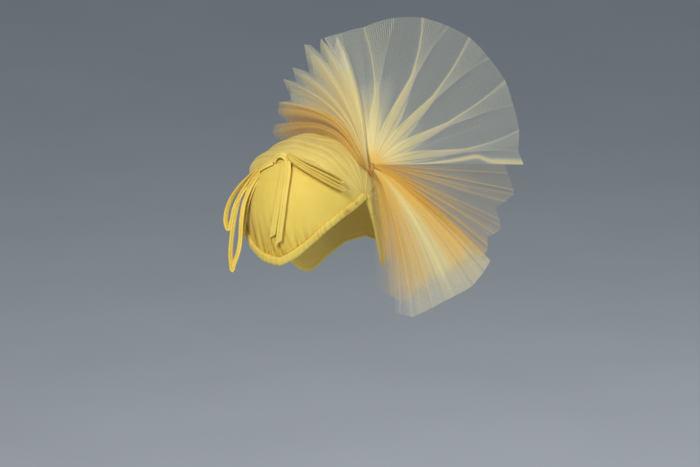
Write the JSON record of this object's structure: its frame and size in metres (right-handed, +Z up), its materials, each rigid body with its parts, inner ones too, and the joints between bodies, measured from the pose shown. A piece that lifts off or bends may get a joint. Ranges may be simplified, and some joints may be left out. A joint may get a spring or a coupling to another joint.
{
  "type": "draped cap with bow and net rosette",
  "caption": "Close cap with a plain front panel, pleated draped crown, rolled edge, ribbon bow and a large gathered net rosette over the wearer's left ear.",
  "frame": {"origin": "top of the cap's hollow, where it sits on the crown of a head", "axes": "+Z up, the cap's front faces -Y, the wearer's left is +X"},
  "size_m": [0.3293, 0.2949, 0.348],
  "materials": {
    "panel_cloth": "fine ribbed plain cloth, soft sheen, a few small stains",
    "pleated_cloth": "sheer crepe in close soft pleats",
    "ribbon": "soft folded bias ribbon, slight sheen",
    "net_pale": "stiff open net, pale yellow",
    "net_orange": "stiff open net in several layers, warm orange"
  },
  "bodies": {
    "root": {"front_panel": "panel_cloth", "crown_drape": "pleated_cloth", "front_edge_roll": "panel_cloth", "back_edge_roll": "panel_cloth", "bow_band": "ribbon", "bow_arch": "ribbon", "bow_loop_outer": "ribbon", "bow_loop_pointed": "ribbon", "bow_loop_inner": "ribbon", "side_loop_upper": "ribbon", "side_loop_lower": "ribbon", "bow_tail_main": "ribbon", "bow_tail_under": "ribbon", "net_fan_upper": "net_pale", "net_fan_left": "net_pale", "net_loops_left": "net_orange", "net_fan_orange": "net_orange", "net_fan_lower": "net_pale", "net_fan_side": "net_pale", "gather_knot": "net_orange"}
  },
  "joints": []
}
